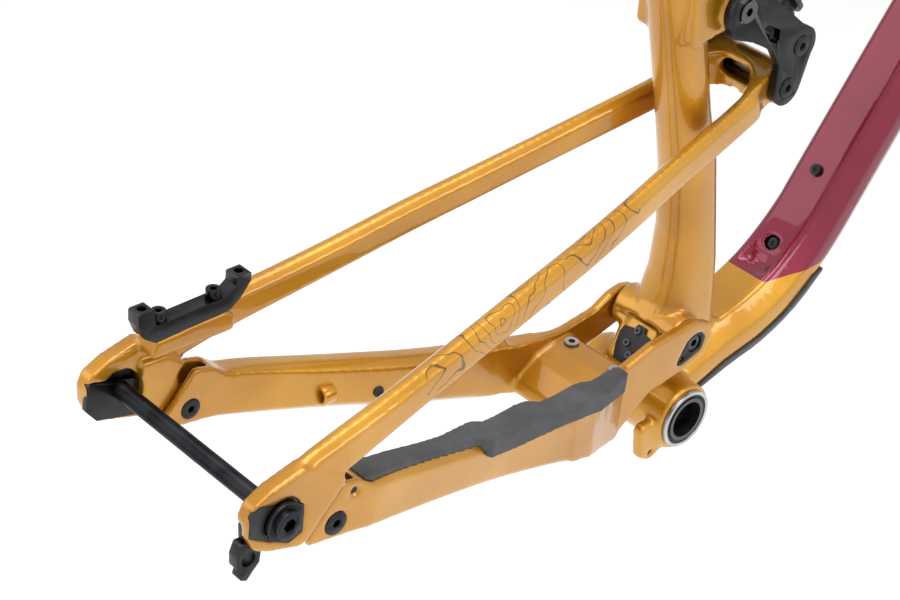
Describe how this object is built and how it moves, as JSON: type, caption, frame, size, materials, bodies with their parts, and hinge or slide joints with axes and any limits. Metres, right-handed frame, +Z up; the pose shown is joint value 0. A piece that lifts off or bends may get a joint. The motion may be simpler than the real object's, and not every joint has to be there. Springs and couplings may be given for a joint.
{
  "type": "bicycle frame",
  "caption": "Full-suspension mountain bike frame with a hollow front triangle, swingarm, seatstays, rocker link and an air shock, all hinged on real pivots.",
  "frame": {"origin": "centre of the bottom bracket, on the frame centre plane", "axes": "+X forward towards the head tube, +Y to the rider's left, +Z up"},
  "size_m": [0.9678, 0.1825, 0.6579],
  "materials": {
    "frame_paint": "glossy metallic paint over carbon",
    "anodised_black": "satin black anodised",
    "bolt_steel": "black oxide",
    "bare_steel": "polished",
    "silver_aluminium": "polished",
    "shock_coating": "hard anodised",
    "rubber": "matte",
    "nylon": "moulded",
    "bronze_bush": "dry bush"
  },
  "bodies": {
    "front_triangle": {"front_triangle": "frame_paint", "seat_clamp": "anodised_black", "seat_clamp_bolt": "bolt_steel", "bb_cup_right": "silver_aluminium", "bb_cup_left": "silver_aluminium", "bb_bearings": "bare_steel", "bb_seals": "rubber", "bb_sleeve": "nylon", "port_cover": "nylon", "port_cover_screws": "bolt_steel", "down_tube_guard": "rubber", "bottle_bolts": "bolt_steel", "hose_entry_right": "rubber", "hose_entry_left": "rubber", "main_pivot_axle": "anodised_black", "rocker_axle": "anodised_black", "shock_front_bolt": "bolt_steel"},
    "bb_inner": {"bb_spindle_rings": "anodised_black"},
    "swingarm": {"chainstay": "frame_paint", "chainstay_protector": "rubber", "main_pivot_covers": "anodised_black", "main_pivot_bearings": "bare_steel", "rear_pivot_bolts": "bolt_steel", "yoke_eyelets": "silver_aluminium"},
    "seatstays": {"seatstay": "frame_paint", "rear_pivot_bearings": "bare_steel", "derailleur_hanger": "anodised_black", "hanger_bolt": "anodised_black", "hanger_washer": "anodised_black", "dropout_insert_left": "anodised_black", "dropout_insert_right": "nylon", "brake_adapter": "anodised_black", "brake_adapter_bolts": "bolt_steel"},
    "axle": {"thru_axle": "anodised_black"},
    "rocker": {"rocker_link": "anodised_black", "rocker_bearings": "bare_steel", "stay_pin": "bolt_steel", "stay_pin_bolts": "anodised_black", "shock_pin": "bolt_steel", "shock_pin_bolts": "anodised_black", "shock_spacers": "silver_aluminium"},
    "shock_body": {"shock_head": "shock_coating", "shock_front_bush": "bronze_bush", "shock_air_can": "shock_coating", "shock_wiper": "rubber", "shock_o_ring": "rubber", "shock_valve_cap": "nylon"},
    "lever": {"shock_lever": "anodised_black"},
    "shock_rod": {"shock_shaft": "shock_coating", "shock_piston": "silver_aluminium", "shock_foot": "shock_coating"},
    "rebound": {"rebound_knob": "anodised_black"}
  },
  "joints": [
    {"name": "main_pivot", "type": "hinge", "parent": "front_triangle", "child": "swingarm", "pos_m": [0.0063, 0, 0.0597], "axis": [0, 1, 0], "range_deg": [-12, 5]},
    {"name": "rear_pivot", "type": "hinge", "parent": "swingarm", "child": "seatstays", "pos_m": [-0.3699, 0, 0.1044], "axis": [0, 1, 0], "range_deg": [-1.63, 3.85]},
    {"name": "rocker_pivot", "type": "hinge", "parent": "front_triangle", "child": "rocker", "pos_m": [0.0061, 0, 0.3233], "axis": [0, 1, 0], "range_deg": [-8.26, 19.74]},
    {"name": "shock_eye_pivot", "type": "hinge", "parent": "front_triangle", "child": "shock_body", "pos_m": [0.194, 0, 0.3879], "axis": [0, 1, 0], "range_deg": [-1.44, 0.63]},
    {"name": "shock_stroke", "type": "slide", "parent": "shock_body", "child": "shock_rod", "axis": [0.7496, 0, 0.6619], "range_m": [-0.02654, 0.01117]},
    {"name": "crank_bearing", "type": "hinge", "parent": "front_triangle", "child": "bb_inner", "pos_m": [0, 0, 0], "axis": [0, 1, 0], "continuous": true},
    {"name": "thru_axle_slide", "type": "slide", "parent": "seatstays", "child": "axle", "axis": [0, 1, 0], "range_m": [0, 0.18]},
    {"name": "climb_lever", "type": "hinge", "parent": "shock_body", "child": "lever", "pos_m": [0.17376, 0, 0.37003], "axis": [0, 1, 0], "range_deg": [0, 60]},
    {"name": "rebound_dial", "type": "hinge", "parent": "shock_rod", "child": "rebound", "pos_m": [0.0717, 0, 0.2799], "axis": [0.7496, 0, 0.6619], "range_deg": [-150, 150]}
  ],
  "couplings": [
    {"joint": "rear_pivot", "follows": "main_pivot", "ratio": -0.3167},
    {"joint": "rocker_pivot", "follows": "main_pivot", "ratio": -1.6412},
    {"joint": "shock_eye_pivot", "follows": "main_pivot", "ratio": 0.1154},
    {"joint": "shock_stroke", "follows": "main_pivot", "m_per_rad": 0.12575}
  ]
}
